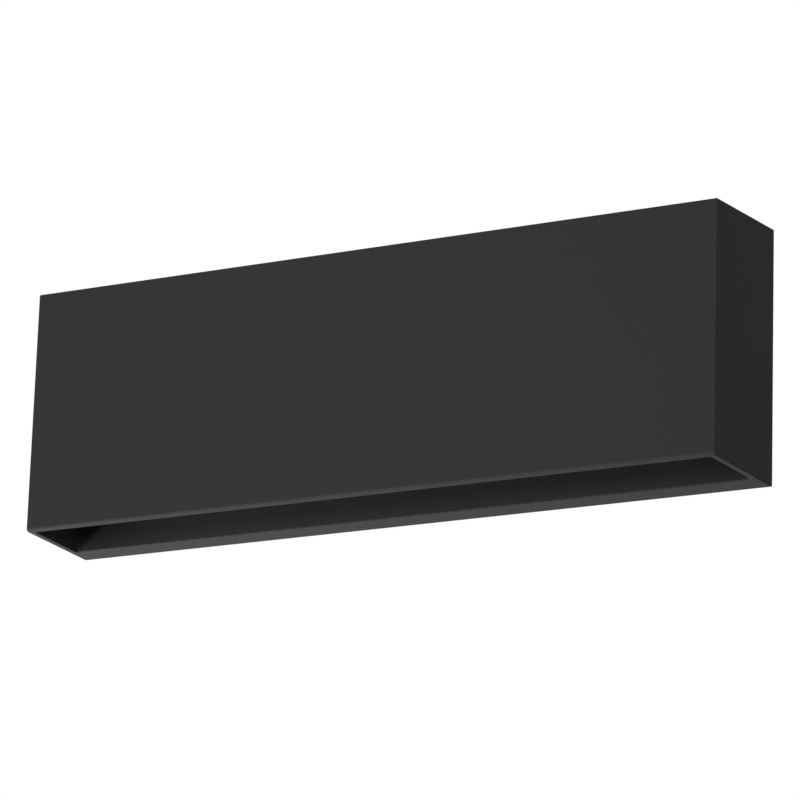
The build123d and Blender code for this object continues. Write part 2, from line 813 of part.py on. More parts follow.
with BuildPart() as terminal_inserts:
    with BuildSketch(Plane.YZ.offset(-insert_length / 2)):
        with Locations(*[(wire_y, z) for z in pole_heights]):
            Circle(insert_tube / 2)
            Circle(insert_bore / 2, mode=Mode.SUBTRACT)
    extrude(amount=insert_length)
finish(terminal_inserts, "terminal_inserts")

with BuildPart() as terminal_screws:
    with BuildSketch(Plane.XZ.offset(-insert_top_y)):
        with Locations(*clamp_points):
            Circle(terminal_screw / 2)
    extrude(amount=insert_top_y - block_top_y + terminal_screw_sink)
finish(terminal_screws, "terminal_screws")

block_head_y = block_top_y - block_screw_sink - m3_head_height
with BuildPart() as block_screws:
    add(screw_group(
        [Plane((x, block_head_y, z), z_dir=facing_wall) for x, z in block_screw_points],
        m3_shank,
        m3_head,
        m3_head_height,
        block_head_y - partition_y + block_screw_thread,
    ))
finish(block_screws, "block_screws")

# Earth: a ring terminal on the partition's boss and its lead from the terminal block
earth_seat = Plane((earth_x, ring_y, earth_z), x_dir=(1, 0, 0), z_dir=facing_wall)
with BuildPart() as earth_ring:
    with BuildSketch(earth_seat):
        Circle(m4_hole / 2 + ring_rim)
        with Locations((barrel_reach / 2, 0)):
            Rectangle(barrel_reach, tongue_width)
        Circle(m4_hole / 2, mode=Mode.SUBTRACT)
    extrude(amount=ring_sheet)
    with BuildSketch(Plane.YZ.offset(barrel_x)):
        with Locations((barrel_y, earth_z)):
            Circle(barrel / 2)
            Circle(lead_hole / 2, mode=Mode.SUBTRACT)
    extrude(amount=barrel_length)
finish(earth_ring, "earth_ring")

with BuildPart() as earth_washer:
    add(washer_group([earth_seat.offset(ring_sheet)], lock_washer, m4_hole, washer_height))
finish(earth_washer, "earth_washer")

with BuildPart() as earth_screw:
    add(screw_group(
        [earth_seat.offset(ring_sheet + washer_height)],
        m4_shank,
        m4_head,
        m4_head_height,
        washer_height + ring_sheet + earth_screw_thread,
    ))
finish(earth_screw, "earth_screw")

slope_x = barrel_x + barrel_length + earth_level_run
with BuildPart() as earth_lead:
    add(round_lead(
        [
            (barrel_x, barrel_y, earth_z),
            (slope_x, barrel_y, earth_z),
            (slope_x + earth_slope_run, wire_y, earth_z),
            (block_face_x + lead_in_block, wire_y, earth_z),
        ],
        [earth_bend, earth_bend],
    ))
finish(earth_lead, "earth_lead")
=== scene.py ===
"""Outdoor wall light, finished and set up in a studio.

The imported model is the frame. The add-on gives each of its pieces a finish, puts turned screws, washers and
light-emitting packages in place of their plain solids, and sets up the floor, the lamps and the camera.
Lengths are metres, in the model's own frame: X along the light, Y into the wall, Z up.
"""

import json
import math

import bmesh
import bpy
from bpy.props import FloatProperty, FloatVectorProperty, PointerProperty
from bpy.types import NodeSocket, Operator, Panel, PropertyGroup
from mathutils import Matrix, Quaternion, Vector

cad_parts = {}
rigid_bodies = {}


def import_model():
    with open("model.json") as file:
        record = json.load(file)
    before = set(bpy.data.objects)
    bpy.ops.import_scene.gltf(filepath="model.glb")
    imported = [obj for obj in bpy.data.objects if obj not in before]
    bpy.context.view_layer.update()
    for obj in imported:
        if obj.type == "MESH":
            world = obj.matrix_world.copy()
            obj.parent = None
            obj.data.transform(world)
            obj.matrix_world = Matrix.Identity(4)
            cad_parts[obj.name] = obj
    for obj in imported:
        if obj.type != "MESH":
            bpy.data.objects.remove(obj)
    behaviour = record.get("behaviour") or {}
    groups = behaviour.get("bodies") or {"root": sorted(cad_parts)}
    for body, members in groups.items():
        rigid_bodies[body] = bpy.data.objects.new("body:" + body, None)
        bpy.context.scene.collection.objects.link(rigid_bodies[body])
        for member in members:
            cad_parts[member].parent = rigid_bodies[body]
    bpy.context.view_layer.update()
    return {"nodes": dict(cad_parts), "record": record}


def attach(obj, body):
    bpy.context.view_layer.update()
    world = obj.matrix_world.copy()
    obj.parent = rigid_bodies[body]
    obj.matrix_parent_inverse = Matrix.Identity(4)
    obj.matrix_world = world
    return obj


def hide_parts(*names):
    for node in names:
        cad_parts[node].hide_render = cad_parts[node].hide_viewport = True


for spare in list(bpy.data.objects):
    bpy.data.objects.remove(spare)
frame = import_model()

bl_info = {
    "name": "Outdoor Wall Light",
    "version": (1, 0, 0),
    "blender": (4, 5, 0),
    "location": "View3D > Sidebar > Wall Light",
    "description": "Finishes, fasteners and studio for a slim box wall light",
    "category": "Object",
}

MM = 0.001
MERGE = 0.002 * MM  # corners closer than this are one
ROUND_SIDES = 72  # corners in a turned outline
SMOOTH_ANGLE = math.radians(32)  # sharper edges stay crisp

UP = Vector((0, 0, 1))
DOWN = -UP
TO_WALL = Vector((0, 1, 0))
TO_FRONT = -TO_WALL

# Proportions of the screws
WIDEST_SHARE = 0.97  # corners that reach this share of the widest one belong to the head
HEADLESS_SHANK = 0.8  # shank of a screw without a head, in its own radii
THREAD_CUT = 0.61  # depth of a metric thread, in pitches
THREAD_STEPS = 18  # points in one turn of a thread
SOCKET_REACH = 0.34  # half width of a hexagon socket, in head radii
SLOT_REACH = 0.58  # half length of a slot, in head radii
SLOT_WIDTH = 0.13  # half width of a slot, in head radii
RECESS_DEPTH = 0.55  # depth of a socket or slot, in head heights
HEX_COLLAR = 0.3  # collar below a hexagon head, in head heights
HEX_FLATS = 0.76  # half width across a hexagon head's flats, in head radii

# The studio, in metres
LAMP_AIM = Vector((0, -0.045, 0))  # the middle of the light
LAMPS = {  # where each soft box hangs, and the length of its sides
    "front": ((-0.05, -1.6, -0.05), 0.7),
    "low": ((-1.86, -0.2, -1.3), 0.43),
    "side": ((3.0, -0.6, 0.9), 1.0),
    "back": ((-0.9, 2.6, 2.2), 2.0),
}
FLOOR_HALF = 14.0  # half the floor's width
FLOOR_FADE = (0.45, 0.95)  # the shares of that between which the floor turns white
SENSOR = 36.0  # width of the camera's sensor, in millimetres
FAR_CLIP = 200.0
WHITE = (1, 1, 1, 1)


def linear(code):
    """The linear colour of an sRGB hex value, with full alpha."""
    shades = [int(code[place:place + 2], 16) / 255 for place in (1, 3, 5)]
    return [s / 12.92 if s <= 0.04045 else ((s + 0.055) / 1.055) ** 2.4 for s in shades] + [1.0]


def colour_choice(name, description, code):
    """A colour that a user can set."""
    return FloatVectorProperty(
        name=name, description=description, subtype="COLOR", size=4, min=0, max=1, default=linear(code)
    )


def length_choice(name, description, millimetres):
    """A length that a user can set."""
    return FloatProperty(
        name=name, description=description, unit="LENGTH", subtype="DISTANCE", min=0,
        default=millimetres * MM,
    )


def angle_choice(name, description, degrees):
    """An angle that a user can set."""
    return FloatProperty(name=name, description=description, subtype="ANGLE", default=math.radians(degrees))


def power_choice(name, description, watts):
    """A lamp's power that a user can set."""
    return FloatProperty(name=name, description=description, unit="POWER", min=0, default=watts)


class WallLightColours(PropertyGroup):
    """Colours of the finishes."""

    coat: colour_choice("Housing coat", "Powder coat on the casting and the bezel", "#383838")
    tray: colour_choice("Tray coat", "Reflective powder coat on the tray", "#E9E9E6")
    lens: colour_choice("Lens", "Opal acrylic of the diffuser", "#E2E4E1")
    seal: colour_choice("Seal", "Silicone under the tray's lip", "#D9D9D4")
    foam: colour_choice("Foam strip", "Foam round the back edge", "#1B1B1B")
    zinc: colour_choice("Galvanised sheet", "Hot-dip zinc on the wall bracket", "#B3B7BA")
    plate: colour_choice("Zinc plate", "Bright zinc on screws and washers", "#C6C9CB")
    oxide: colour_choice("Black oxide", "Finish of the screws that show", "#1D1D1E")
    ground: colour_choice("Ground screw", "Dyed zinc on the ground screw", "#1E6A36")
    brass: colour_choice("Brass", "Turned brass in the terminals", "#C9A34D")
    tin: colour_choice("Tin", "Tinned copper of the ring terminal", "#C9C6BF")
    mask: colour_choice("Board", "White solder mask on the boards", "#F0F1EF")
    package: colour_choice("Package", "Moulded cup of each light-emitting package", "#ECEAE3")
    phosphor: colour_choice("Phosphor", "Filled silicone in each package", "#E5B63B")
    pad: colour_choice("Thermal pad", "Filled silicone under the boards", "#9EA8B7")
    rubber: colour_choice("Grommets", "Nitrile rubber", "#191919")
    nylon: colour_choice("Nylon", "Terminal block and board connectors", "#E3DFD2")
    aluminium: colour_choice("Driver case", "Bare extruded aluminium", "#B0B3B6")
    caps: colour_choice("Driver caps", "Moulded end caps", "#1C1C1D")
    live: colour_choice("Black lead", "Insulation of the live and the negative lead", "#1A1A1B")
    neutral: colour_choice("White lead", "Insulation of the neutral lead", "#E4E3DE")
    positive: colour_choice("Red lead", "Insulation of the positive lead", "#A81E1C")
    earth: colour_choice("Green lead", "Insulation of the earth lead", "#1F7A3C")
    floor: colour_choice("Floor", "Matt paint on the studio floor", "#ECECEA")


class WallLightSizes(PropertyGroup):
    """Sizes of the details and of the patterns in the finishes."""

    peel: length_choice("Coat texture", "Width of the powder coat's grains", 1.2)
    spangle: length_choice("Spangle", "Width of the crystals on galvanised sheet", 9.0)
    pore: length_choice("Foam pores", "Width of the foam's cells", 0.6)
    drawn: length_choice("Die lines", "Spacing of the lines on extruded aluminium", 0.5)
    track: length_choice("Tracks", "Spacing of the copper tracks under the solder mask", 5.0)
    edge: length_choice("Edge", "Rounding of screw heads and washers", 0.25)
    small_pitch: length_choice("Small thread", "Thread pitch of the smaller screws", 0.5)
    large_pitch: length_choice("Large thread", "Thread pitch of the larger screws", 0.7)
    well: length_choice("Package well", "Depth of the phosphor below a package's rim", 0.1)
    package_rim: length_choice("Package rim", "Wall round the phosphor", 0.35)


class WallLightStudio(PropertyGroup):
    """The camera, the floor and the level of the lamps."""

    lens: FloatProperty(
        name="Lens", description="Focal length on a 36 mm sensor", unit="CAMERA", default=191.1, min=1
    )
    camera_place: FloatVectorProperty(
        name="Camera", description="Where the camera stands", subtype="TRANSLATION", unit="LENGTH",
        default=(1.5750, -2.7880, -0.9106),
    )
    bearing: angle_choice("Bearing", "Camera's turn round the light, from straight in front", 29.71)
    rise: angle_choice("Rise", "How far the camera looks up", 15.88)
    roll: angle_choice("Roll", "Camera's tilt about its own axis", 1.83)
    floor_drop: FloatProperty(
        name="Floor", description="Floor below the light's middle", unit="LENGTH", default=4.4, min=0
    )
    floor_glow: FloatProperty(
        name="Floor level", description="How pale the floor looks before the lamps add to it",
        subtype="FACTOR", default=0.84, min=0, max=1,
    )
    front_power: power_choice("Front lamp", "Soft lamp in front", 14.3)
    low_power: power_choice("Low lamp", "Soft lamp below, on the left", 75)
    side_power: power_choice("Side lamp", "Soft lamp on the right", 13.5)
    back_power: power_choice("Back lamp", "Soft lamp above, behind", 55)
    ambient: FloatProperty(
        name="Surroundings", description="Level of the light from all round", default=0.015, min=0
    )


def put(tree, kind, inputs=None, **settings):
    """Add a node, set its properties, and give each named input a value or the sockets that feed it."""
    node = tree.nodes.new(kind)
    for name, value in settings.items():
        setattr(node, name, value)
    for name, value in (inputs or {}).items():
        feeds = value if isinstance(value, list) else [value]
        if all(isinstance(feed, NodeSocket) for feed in feeds):
            for feed in feeds:
                tree.links.new(feed, node.inputs[name])
        else:
            node.inputs[name].default_value = value
    return node


def new_finish(name, **shading):
    """A new material with a Principled shader, its tree and the piece's own coordinates."""
    finish = bpy.data.materials.new(name)
    finish.use_nodes = True
    tree = finish.node_tree
    tree.nodes.clear()
    shader = put(tree, "ShaderNodeBsdfPrincipled", shading)
    put(tree, "ShaderNodeOutputMaterial", {"Surface": shader.outputs["BSDF"]})
    return finish, tree, shader, put(tree, "ShaderNodeTexCoord").outputs["Object"]


def work_surface(tree, shader, colour, pattern, spread, roughness, swing, relief=None, depth=0.0):
    """Let a pattern from 0 to 1 move the colour and roughness a little, and a relief raise the surface."""
    dark, pale = [[min(1, part * level) for part in colour[:3]] + [1] for level in (1 - spread, 1 + spread)]
    # A Mix node has several sockets of each name, so those for colours go by their numbers
    tint = put(tree, "ShaderNodeMix", {0: pattern, 6: dark, 7: pale}, data_type="RGBA").outputs[2]
    tree.links.new(tint, shader.inputs["Base Color"])
    polish = put(tree, "ShaderNodeMapRange", {
        "Value": pattern, "To Min": roughness - swing, "To Max": roughness + swing,
    }).outputs[0]
    tree.links.new(polish, shader.inputs["Roughness"])
    if relief is not None:
        bump = put(tree, "ShaderNodeBump", {"Height": relief, "Distance": depth, "Strength": 1.0}).outputs[0]
        tree.links.new(bump, shader.inputs["Normal"])


def powder_coat(name, colour, grain, roughness, gloss):
    """Polyester powder baked on metal: a fine orange peel that blurs reflections to a soft sheen."""
    # Real grains are about 0.3 mm wide; they are drawn wider so that they show from afar
    patch = 60 * MM  # the coat is a little thicker here and there
    finish, tree, shader, place = new_finish(name, **{"Specular IOR Level": gloss})
    peel = put(tree, "ShaderNodeTexNoise", {"Vector": place, "Scale": 1 / grain, "Detail": 2.0}).outputs[0]
    cloud = put(tree, "ShaderNodeTexNoise", {"Vector": place, "Scale": 1 / patch, "Detail": 2.0}).outputs[0]
    work_surface(
        tree, shader, colour, cloud,
        spread=0.06, roughness=roughness, swing=0.03, relief=peel, depth=grain / 10,
    )
    return finish


def galvanised_sheet(name, colour, spangle):
    """Steel sheet dipped in zinc: flat crystals that each catch the light at another level."""
    # The zinc's own grain is finer than 0.1 mm; it is drawn wider so that it shows close up
    grain = 0.8 * MM
    finish, tree, shader, place = new_finish(name, Metallic=1.0)
    crystal = put(tree, "ShaderNodeTexVoronoi", {"Vector": place, "Scale": 1 / spangle, "Randomness": 1.0})
    level = put(tree, "ShaderNodeSeparateColor", {0: crystal.outputs["Color"]}).outputs[0]
    frost = put(tree, "ShaderNodeTexNoise", {"Vector": place, "Scale": 1 / grain, "Detail": 3.0}).outputs[0]
    work_surface(
        tree, shader, colour, level,
        spread=0.10, roughness=0.58, swing=0.08, relief=frost, depth=0.01 * MM,
    )
    return finish


def plated_steel(name, colour, roughness, metallic):
    """Turned or pressed metal with a thin plating or oxide: a clean sheen with faint tool marks."""
    # Real tool marks are about 0.1 mm apart; they are drawn wider so that they show close up
    mark = 0.6 * MM
    finish, tree, shader, place = new_finish(name, Metallic=metallic)
    marks = put(tree, "ShaderNodeTexNoise", {"Vector": place, "Scale": 1 / mark, "Detail": 4.0}).outputs[0]
    work_surface(
        tree, shader, colour, marks,
        spread=0.08, roughness=roughness, swing=0.06, relief=marks, depth=0.008 * MM,
    )
    return finish


def extruded_aluminium(name, colour, spacing):
    """Bare aluminium from the die: long fine lines that stretch the highlights across the case."""
    # Real die lines are about 0.1 mm apart; they are drawn wider so that they show close up
    stretch = 100  # a line runs this many times as far along X as it is wide
    finish, tree, shader, place = new_finish(name, Metallic=1.0)
    along = put(tree, "ShaderNodeMapping", {"Vector": place, "Scale": (1 / stretch, 1.0, 1.0)}).outputs[0]
    lines = put(tree, "ShaderNodeTexNoise", {
        "Vector": along, "Scale": 1 / spacing, "Detail": 3.0,
    }).outputs[0]
    work_surface(
        tree, shader, colour, lines,
        spread=0.10, roughness=0.36, swing=0.08, relief=lines, depth=0.02 * MM,
    )
    return finish


def foam_rubber(name, colour, pore):
    """Closed-cell foam strip: a dead matt skin pitted by its cells."""
    # Real cells are about 0.2 mm wide; they are drawn wider so that they show close up
    finish, tree, shader, place = new_finish(name)
    cells = put(tree, "ShaderNodeTexVoronoi", {"Vector": place, "Scale": 1 / pore}).outputs["Distance"]
    work_surface(
        tree, shader, colour, cells,
        spread=0.35, roughness=0.92, swing=0.05, relief=cells, depth=0.15 * MM,
    )
    return finish


def moulded(name, colour, roughness, grain, glow=0.0):
    """Moulded rubber, nylon or plastic: an even skin with a faint tool texture, some lit in its depth."""
    # A spark-eroded tool leaves grains under 0.1 mm; they are drawn wider so that they show close up
    streak = 12 * MM  # where the melt flowed
    finish, tree, shader, place = new_finish(name, **{"Subsurface Weight": glow, "Subsurface Scale": 2 * MM})
    skin = put(tree, "ShaderNodeTexNoise", {"Vector": place, "Scale": 1 / grain, "Detail": 3.0}).outputs[0]
    flow = put(tree, "ShaderNodeTexNoise", {"Vector": place, "Scale": 1 / streak, "Detail": 2.0}).outputs[0]
    work_surface(
        tree, shader, colour, flow,
        spread=0.08, roughness=roughness, swing=0.05, relief=skin, depth=grain / 20,
    )
    return finish


def opal_acrylic(name, colour):
    """Extruded opal sheet with a satin face: milky, with soft light in its depth."""
    # The satin face's grain is finer than 0.05 mm; it is drawn wider so that it shows close up
    grain = 0.5 * MM
    cloud = 35 * MM  # the opal filler is a little denser here and there
    finish, tree, shader, place = new_finish(name, **{
        "Subsurface Weight": 0.6, "Subsurface Scale": 3 * MM, "Subsurface Radius": (1.0, 1.0, 1.0),
        "IOR": 1.49,
    })
    haze = put(tree, "ShaderNodeTexNoise", {"Vector": place, "Scale": 1 / cloud, "Detail": 3.0}).outputs[0]
    satin = put(tree, "ShaderNodeTexNoise", {"Vector": place, "Scale": 1 / grain, "Detail": 2.0}).outputs[0]
    work_surface(
        tree, shader, colour, haze,
        spread=0.02, roughness=0.38, swing=0.04, relief=satin, depth=0.01 * MM,
    )
    return finish


def solder_mask(name, colour, spacing):
    """White mask over copper tracks: a glossy board whose tracks show as low bands."""
    finish, tree, shader, place = new_finish(name)
    bands = put(tree, "ShaderNodeTexWave", {"Vector": place, "Scale": 1 / spacing, "Distortion": 0.0},
                bands_direction="Y", wave_profile="SIN").outputs["Fac"]
    # The mask slopes from each track down to the board
    tracks = put(tree, "ShaderNodeMapRange", {"Value": bands, "From Min": 0.45, "From Max": 0.55}).outputs[0]
    work_surface(
        tree, shader, colour, tracks,
        spread=0.04, roughness=0.34, swing=0.04, relief=tracks, depth=0.05 * MM,
    )
    return finish


def filled_silicone(name, colour, speck, roughness):
    """Silicone filled with powder: soft, a little speckled, with no hard highlight."""
    # Real powder is under 0.05 mm; its specks are drawn wider so that they show close up
    finish, tree, shader, place = new_finish(name)
    specks = put(tree, "ShaderNodeTexVoronoi", {"Vector": place, "Scale": 1 / speck}).outputs["Distance"]
    work_surface(
        tree, shader, colour, specks,
        spread=0.12, roughness=roughness, swing=0.05, relief=specks, depth=speck / 40,
    )
    return finish


def pvc_insulation(name, colour):
    """Extruded vinyl: smooth and softly glossy, with a faint unevenness from the die."""
    # The real unevenness is about 0.2 mm wide; it is drawn wider so that it shows close up
    ripple = 0.9 * MM
    finish, tree, shader, place = new_finish(name)
    drag = put(tree, "ShaderNodeTexNoise", {"Vector": place, "Scale": 1 / ripple, "Detail": 2.0}).outputs[0]
    work_surface(
        tree, shader, colour, drag,
        spread=0.10, roughness=0.40, swing=0.06, relief=drag, depth=0.02 * MM,
    )
    return finish


def dress(finish, *nodes):
    """Give CAD nodes a finish."""
    for node in nodes:
        for place in frame["nodes"][node].material_slots:
            place.material = finish


def islands(node):
    """The corner points of each separate solid in a CAD node."""
    shape = bmesh.new()
    shape.from_mesh(frame["nodes"][node].data)
    bmesh.ops.remove_doubles(shape, verts=shape.verts, dist=MERGE)
    shape.verts.index_update()
    seen = set()
    groups = []
    for first in shape.verts:
        if first.index in seen:
            continue
        seen.add(first.index)
        front = [first]
        group = []
        while front:
            corner = front.pop()
            group.append(corner.co.copy())
            for edge in corner.link_edges:
                other = edge.other_vert(corner)
                if other.index not in seen:
                    seen.add(other.index)
                    front.append(other)
        groups.append(group)
    shape.free()
    return groups


def turned_sizes(points, facing):
    """Where a turned solid's head sits, and its sizes, seen along the way that it faces."""
    low, high = [Vector(map(pick, zip(*points))) for pick in (min, max)]
    middle = (low + high) / 2
    heights = [(point - middle).dot(facing) for point in points]
    reaches = [(point - middle - facing * height).length for point, height in zip(points, heights)]
    widest = max(reaches)
    seat = min(height for height, reach in zip(heights, reaches) if reach > WIDEST_SHARE * widest)
    shank = [reach for height, reach in zip(heights, reaches) if height < seat - MERGE]
    return {
        "seat": middle + facing * seat,
        "radius": widest,
        "height": max(heights) - seat,
        "shank": max(shank, default=0.0),
        "length": seat - min(heights),
        "bore": min(reaches),
    }


def begin_tree(name, lengths):
    """A geometry tree with named inputs for its lengths, its turn and its finish."""
    tree = bpy.data.node_groups.new(name, "GeometryNodeTree")
    sockets = [("Geometry", "NodeSocketGeometry")] + [(length, "NodeSocketFloat") for length in lengths]
    sockets += [("Turn", "NodeSocketRotation"), ("Finish", "NodeSocketMaterial")]
    for label, kind in sockets:
        tree.interface.new_socket(label, in_out="INPUT", socket_type=kind)
    tree.interface.new_socket("Geometry", in_out="OUTPUT", socket_type="NodeSocketGeometry")
    return tree, put(tree, "NodeGroupInput").outputs


def end_tree(tree, given, shapes):
    """Stand the shapes on every point of the mesh, turned the given way, and give them their finish."""
    whole = put(tree, "GeometryNodeJoinGeometry", {"Geometry": shapes})
    copies = put(tree, "GeometryNodeInstanceOnPoints", {
        "Points": given["Geometry"], "Instance": whole.outputs[0], "Rotation": given["Turn"],
    })
    solid = put(tree, "GeometryNodeRealizeInstances", {"Geometry": copies.outputs[0]})
    finished = put(tree, "GeometryNodeSetMaterial", {
        "Geometry": solid.outputs[0], "Material": given["Finish"],
    })
    put(tree, "NodeGroupOutput", {"Geometry": finished.outputs[0]})
    return tree


def outward(tree):
    """The way from the axis to each corner, as a unit vector."""
    corner = put(tree, "GeometryNodeInputPosition").outputs[0]
    flat = put(tree, "ShaderNodeVectorMath", {0: corner, 1: (1, 1, 0)}, operation="MULTIPLY").outputs[0]
    return put(tree, "ShaderNodeVectorMath", {0: flat}, operation="NORMALIZE").outputs[0]


def polygon_reach(tree, apothem, sides):
    """How far a regular outline with an even number of sides reaches on each bearing."""
    way = outward(tree)
    nearest = None
    for number in range(sides // 2):
        angle = (2 * number + 1) * math.pi / sides
        side = (math.cos(angle), math.sin(angle), 0)
        dot = put(tree, "ShaderNodeVectorMath", {0: way, 1: side}, operation="DOT_PRODUCT").outputs["Value"]
        size = put(tree, "ShaderNodeMath", {0: dot}, operation="ABSOLUTE").outputs[0]
        if nearest is not None:
            size = put(tree, "ShaderNodeMath", {0: nearest, 1: size}, operation="MAXIMUM").outputs[0]
        nearest = size
    return put(tree, "ShaderNodeMath", {0: apothem, 1: nearest}, operation="DIVIDE").outputs[0]


def strip_reach(tree, half_length, half_width, along):
    """How far a straight slot reaches on each bearing, along X or along Y."""
    size = put(tree, "ShaderNodeVectorMath", {0: outward(tree)}, operation="ABSOLUTE").outputs[0]
    parts = put(tree, "ShaderNodeSeparateXYZ", {0: size}).outputs
    ends, sides = (parts[0], parts[1]) if along == "X" else (parts[1], parts[0])
    ends = put(tree, "ShaderNodeMath", {0: ends, 1: half_length}, operation="DIVIDE").outputs[0]
    sides = put(tree, "ShaderNodeMath", {0: sides, 1: half_width}, operation="DIVIDE").outputs[0]
    nearest = put(tree, "ShaderNodeMath", {0: ends, 1: sides}, operation="MAXIMUM").outputs[0]
    return put(tree, "ShaderNodeMath", {0: 1.0, 1: nearest}, operation="DIVIDE").outputs[0]


def raise_outline(tree, mesh, marked, height, reach, mode):
    """Extrude what is marked, and set its new corners at a height and a distance from the axis."""
    inputs = {"Mesh": mesh, "Offset Scale": 0.0}
    if marked is not None:
        inputs["Selection"] = marked
    grown = put(tree, "GeometryNodeExtrudeMesh", inputs, mode=mode)
    way = outward(tree)
    spread = put(tree, "ShaderNodeVectorMath", {0: way, "Scale": reach}, operation="SCALE").outputs[0]
    lift = put(tree, "ShaderNodeCombineXYZ", {"Z": height}).outputs[0]
    corner = put(tree, "ShaderNodeVectorMath", {0: spread, 1: lift}, operation="ADD").outputs[0]
    moved = put(tree, "GeometryNodeSetPosition", {
        "Geometry": grown.outputs["Mesh"], "Selection": grown.outputs["Top"], "Position": corner,
    })
    return moved.outputs[0], grown.outputs["Top"]


def begin_outline(tree, height, reach, fill, mode, domain):
    """A round outline or disc at a height, with each corner at a distance from the axis."""
    circle = put(tree, "GeometryNodeMeshCircle", {"Vertices": ROUND_SIDES, "Radius": 1.0}, fill_type=fill)
    mesh, marked = raise_outline(tree, circle.outputs[0], None, height, reach, mode)
    moved = put(tree, "GeometryNodeSeparateGeometry", {"Geometry": mesh, "Selection": marked}, domain=domain)
    return moved.outputs[0], marked


def tower(tree, outlines):
    """A closed solid through outlines, each a height and a reach, from the bottom up."""
    mesh, marked = begin_outline(tree, *outlines[0], fill="NGON", mode="FACES", domain="FACE")
    # The solid's lower side is the first outline, turned over
    base = put(tree, "GeometryNodeFlipFaces", {"Mesh": mesh}).outputs[0]
    for height, reach in outlines[1:]:
        mesh, marked = raise_outline(tree, mesh, marked, height, reach, "FACES")
    both = put(tree, "GeometryNodeJoinGeometry", {"Geometry": [base, mesh]}).outputs[0]
    return put(tree, "GeometryNodeMergeByDistance", {"Geometry": both, "Distance": MERGE}).outputs[0]


def screw_tree(drive):
    """Screws with a turned head, a recess for the driver and a cut thread."""
    tree, given = begin_tree(f"{drive} screw", [
        "Head Radius", "Head Height", "Edge", "Core Radius", "Length", "Thread Depth", "Thread Length",
        "Turns", "Recess Reach", "Recess Width", "Recess Depth",
    ])
    radius, height, edge = given["Head Radius"], given["Head Height"], given["Edge"]
    core, length, threaded = given["Core Radius"], given["Length"], given["Thread Length"]
    reach, width, depth = given["Recess Reach"], given["Recess Width"], given["Recess Depth"]
    foot = put(tree, "ShaderNodeMath", {0: 0.0, 1: length}, operation="SUBTRACT").outputs[0]
    outlines = [(foot, core), (0.0, core), (0.0, radius)]
    if drive == "Hex head":
        collar = put(tree, "ShaderNodeMath", {0: height, 1: HEX_COLLAR}, operation="MULTIPLY").outputs[0]
        flats = put(tree, "ShaderNodeMath", {0: radius, 1: HEX_FLATS}, operation="MULTIPLY").outputs[0]
        hexagon = polygon_reach(tree, flats, 6)
        outlines += [(collar, radius), (collar, hexagon), (height, hexagon)]
    else:
        shoulder = put(tree, "ShaderNodeMath", {0: height, 1: edge}, operation="SUBTRACT").outputs[0]
        crown = put(tree, "ShaderNodeMath", {0: radius, 1: edge}, operation="SUBTRACT").outputs[0]
        outlines += [(shoulder, radius), (height, crown)]
    if drive == "Socket":
        recess = polygon_reach(tree, reach, 6)
    else:
        recess = strip_reach(tree, reach, width, "X")
    if drive == "Cross":
        second = strip_reach(tree, reach, width, "Y")
        recess = put(tree, "ShaderNodeMath", {0: recess, 1: second}, operation="MAXIMUM").outputs[0]
    floor = put(tree, "ShaderNodeMath", {0: height, 1: depth}, operation="SUBTRACT").outputs[0]
    outlines += [(height, recess), (floor, recess)]
    helix = put(tree, "GeometryNodeCurveSpiral", {
        "Resolution": THREAD_STEPS, "Rotations": given["Turns"], "Start Radius": core, "End Radius": core,
        "Height": threaded,
    }).outputs[0]
    # A circle of three corners is the ridge's section
    ridge = put(tree, "GeometryNodeCurvePrimitiveCircle", {
        "Resolution": 3, "Radius": given["Thread Depth"],
    }).outputs[0]
    thread = put(tree, "GeometryNodeCurveToMesh", {
        "Curve": helix, "Profile Curve": ridge, "Fill Caps": True,
    }).outputs[0]
    # The thread lies in the middle of the shank, so it starts half of both lengths below the seat
    both = put(tree, "ShaderNodeMath", {0: length, 1: threaded}, operation="ADD").outputs[0]
    start = put(tree, "ShaderNodeMath", {0: both, 1: -0.5}, operation="MULTIPLY").outputs[0]
    drop = put(tree, "ShaderNodeCombineXYZ", {"Z": start}).outputs[0]
    thread = put(tree, "GeometryNodeTransform", {"Geometry": thread, "Translation": drop}).outputs[0]
    return end_tree(tree, given, [tower(tree, outlines), thread])


def ring_tree():
    """Flat rings with softened edges: washers and round nuts."""
    tree, given = begin_tree("Ring", ["Outer Radius", "Bore Radius", "Height", "Edge"])
    outer, bore, height, edge = [given[name] for name in ("Outer Radius", "Bore Radius", "Height", "Edge")]
    rim = put(tree, "ShaderNodeMath", {0: outer, 1: edge}, operation="SUBTRACT").outputs[0]
    mouth = put(tree, "ShaderNodeMath", {0: bore, 1: edge}, operation="ADD").outputs[0]
    shoulder = put(tree, "ShaderNodeMath", {0: height, 1: edge}, operation="SUBTRACT").outputs[0]
    section = [
        (edge, outer), (shoulder, outer), (height, rim), (height, mouth), (shoulder, bore), (edge, bore),
        (0.0, mouth), (0.0, rim), (edge, outer),
    ]
    mesh, marked = begin_outline(tree, *section[0], fill="NONE", mode="EDGES", domain="EDGE")
    for level, reach in section[1:]:
        mesh, marked = raise_outline(tree, mesh, marked, level, reach, "EDGES")
    closed = put(tree, "GeometryNodeMergeByDistance", {"Geometry": mesh, "Distance": MERGE}).outputs[0]
    return end_tree(tree, given, [closed])


def package_tree():
    """Square light-emitting packages with a round well, or the fill of such wells."""
    tree, given = begin_tree("Package", ["Half Width", "Height", "Well Radius", "Well Depth"])
    height, well = given["Height"], given["Well Radius"]
    square = polygon_reach(tree, given["Half Width"], 4)
    floor = put(tree, "ShaderNodeMath", {0: height, 1: given["Well Depth"]}, operation="SUBTRACT").outputs[0]
    outlines = [(0.0, square), (height, square), (height, well), (floor, well)]
    return end_tree(tree, given, [tower(tree, outlines)])


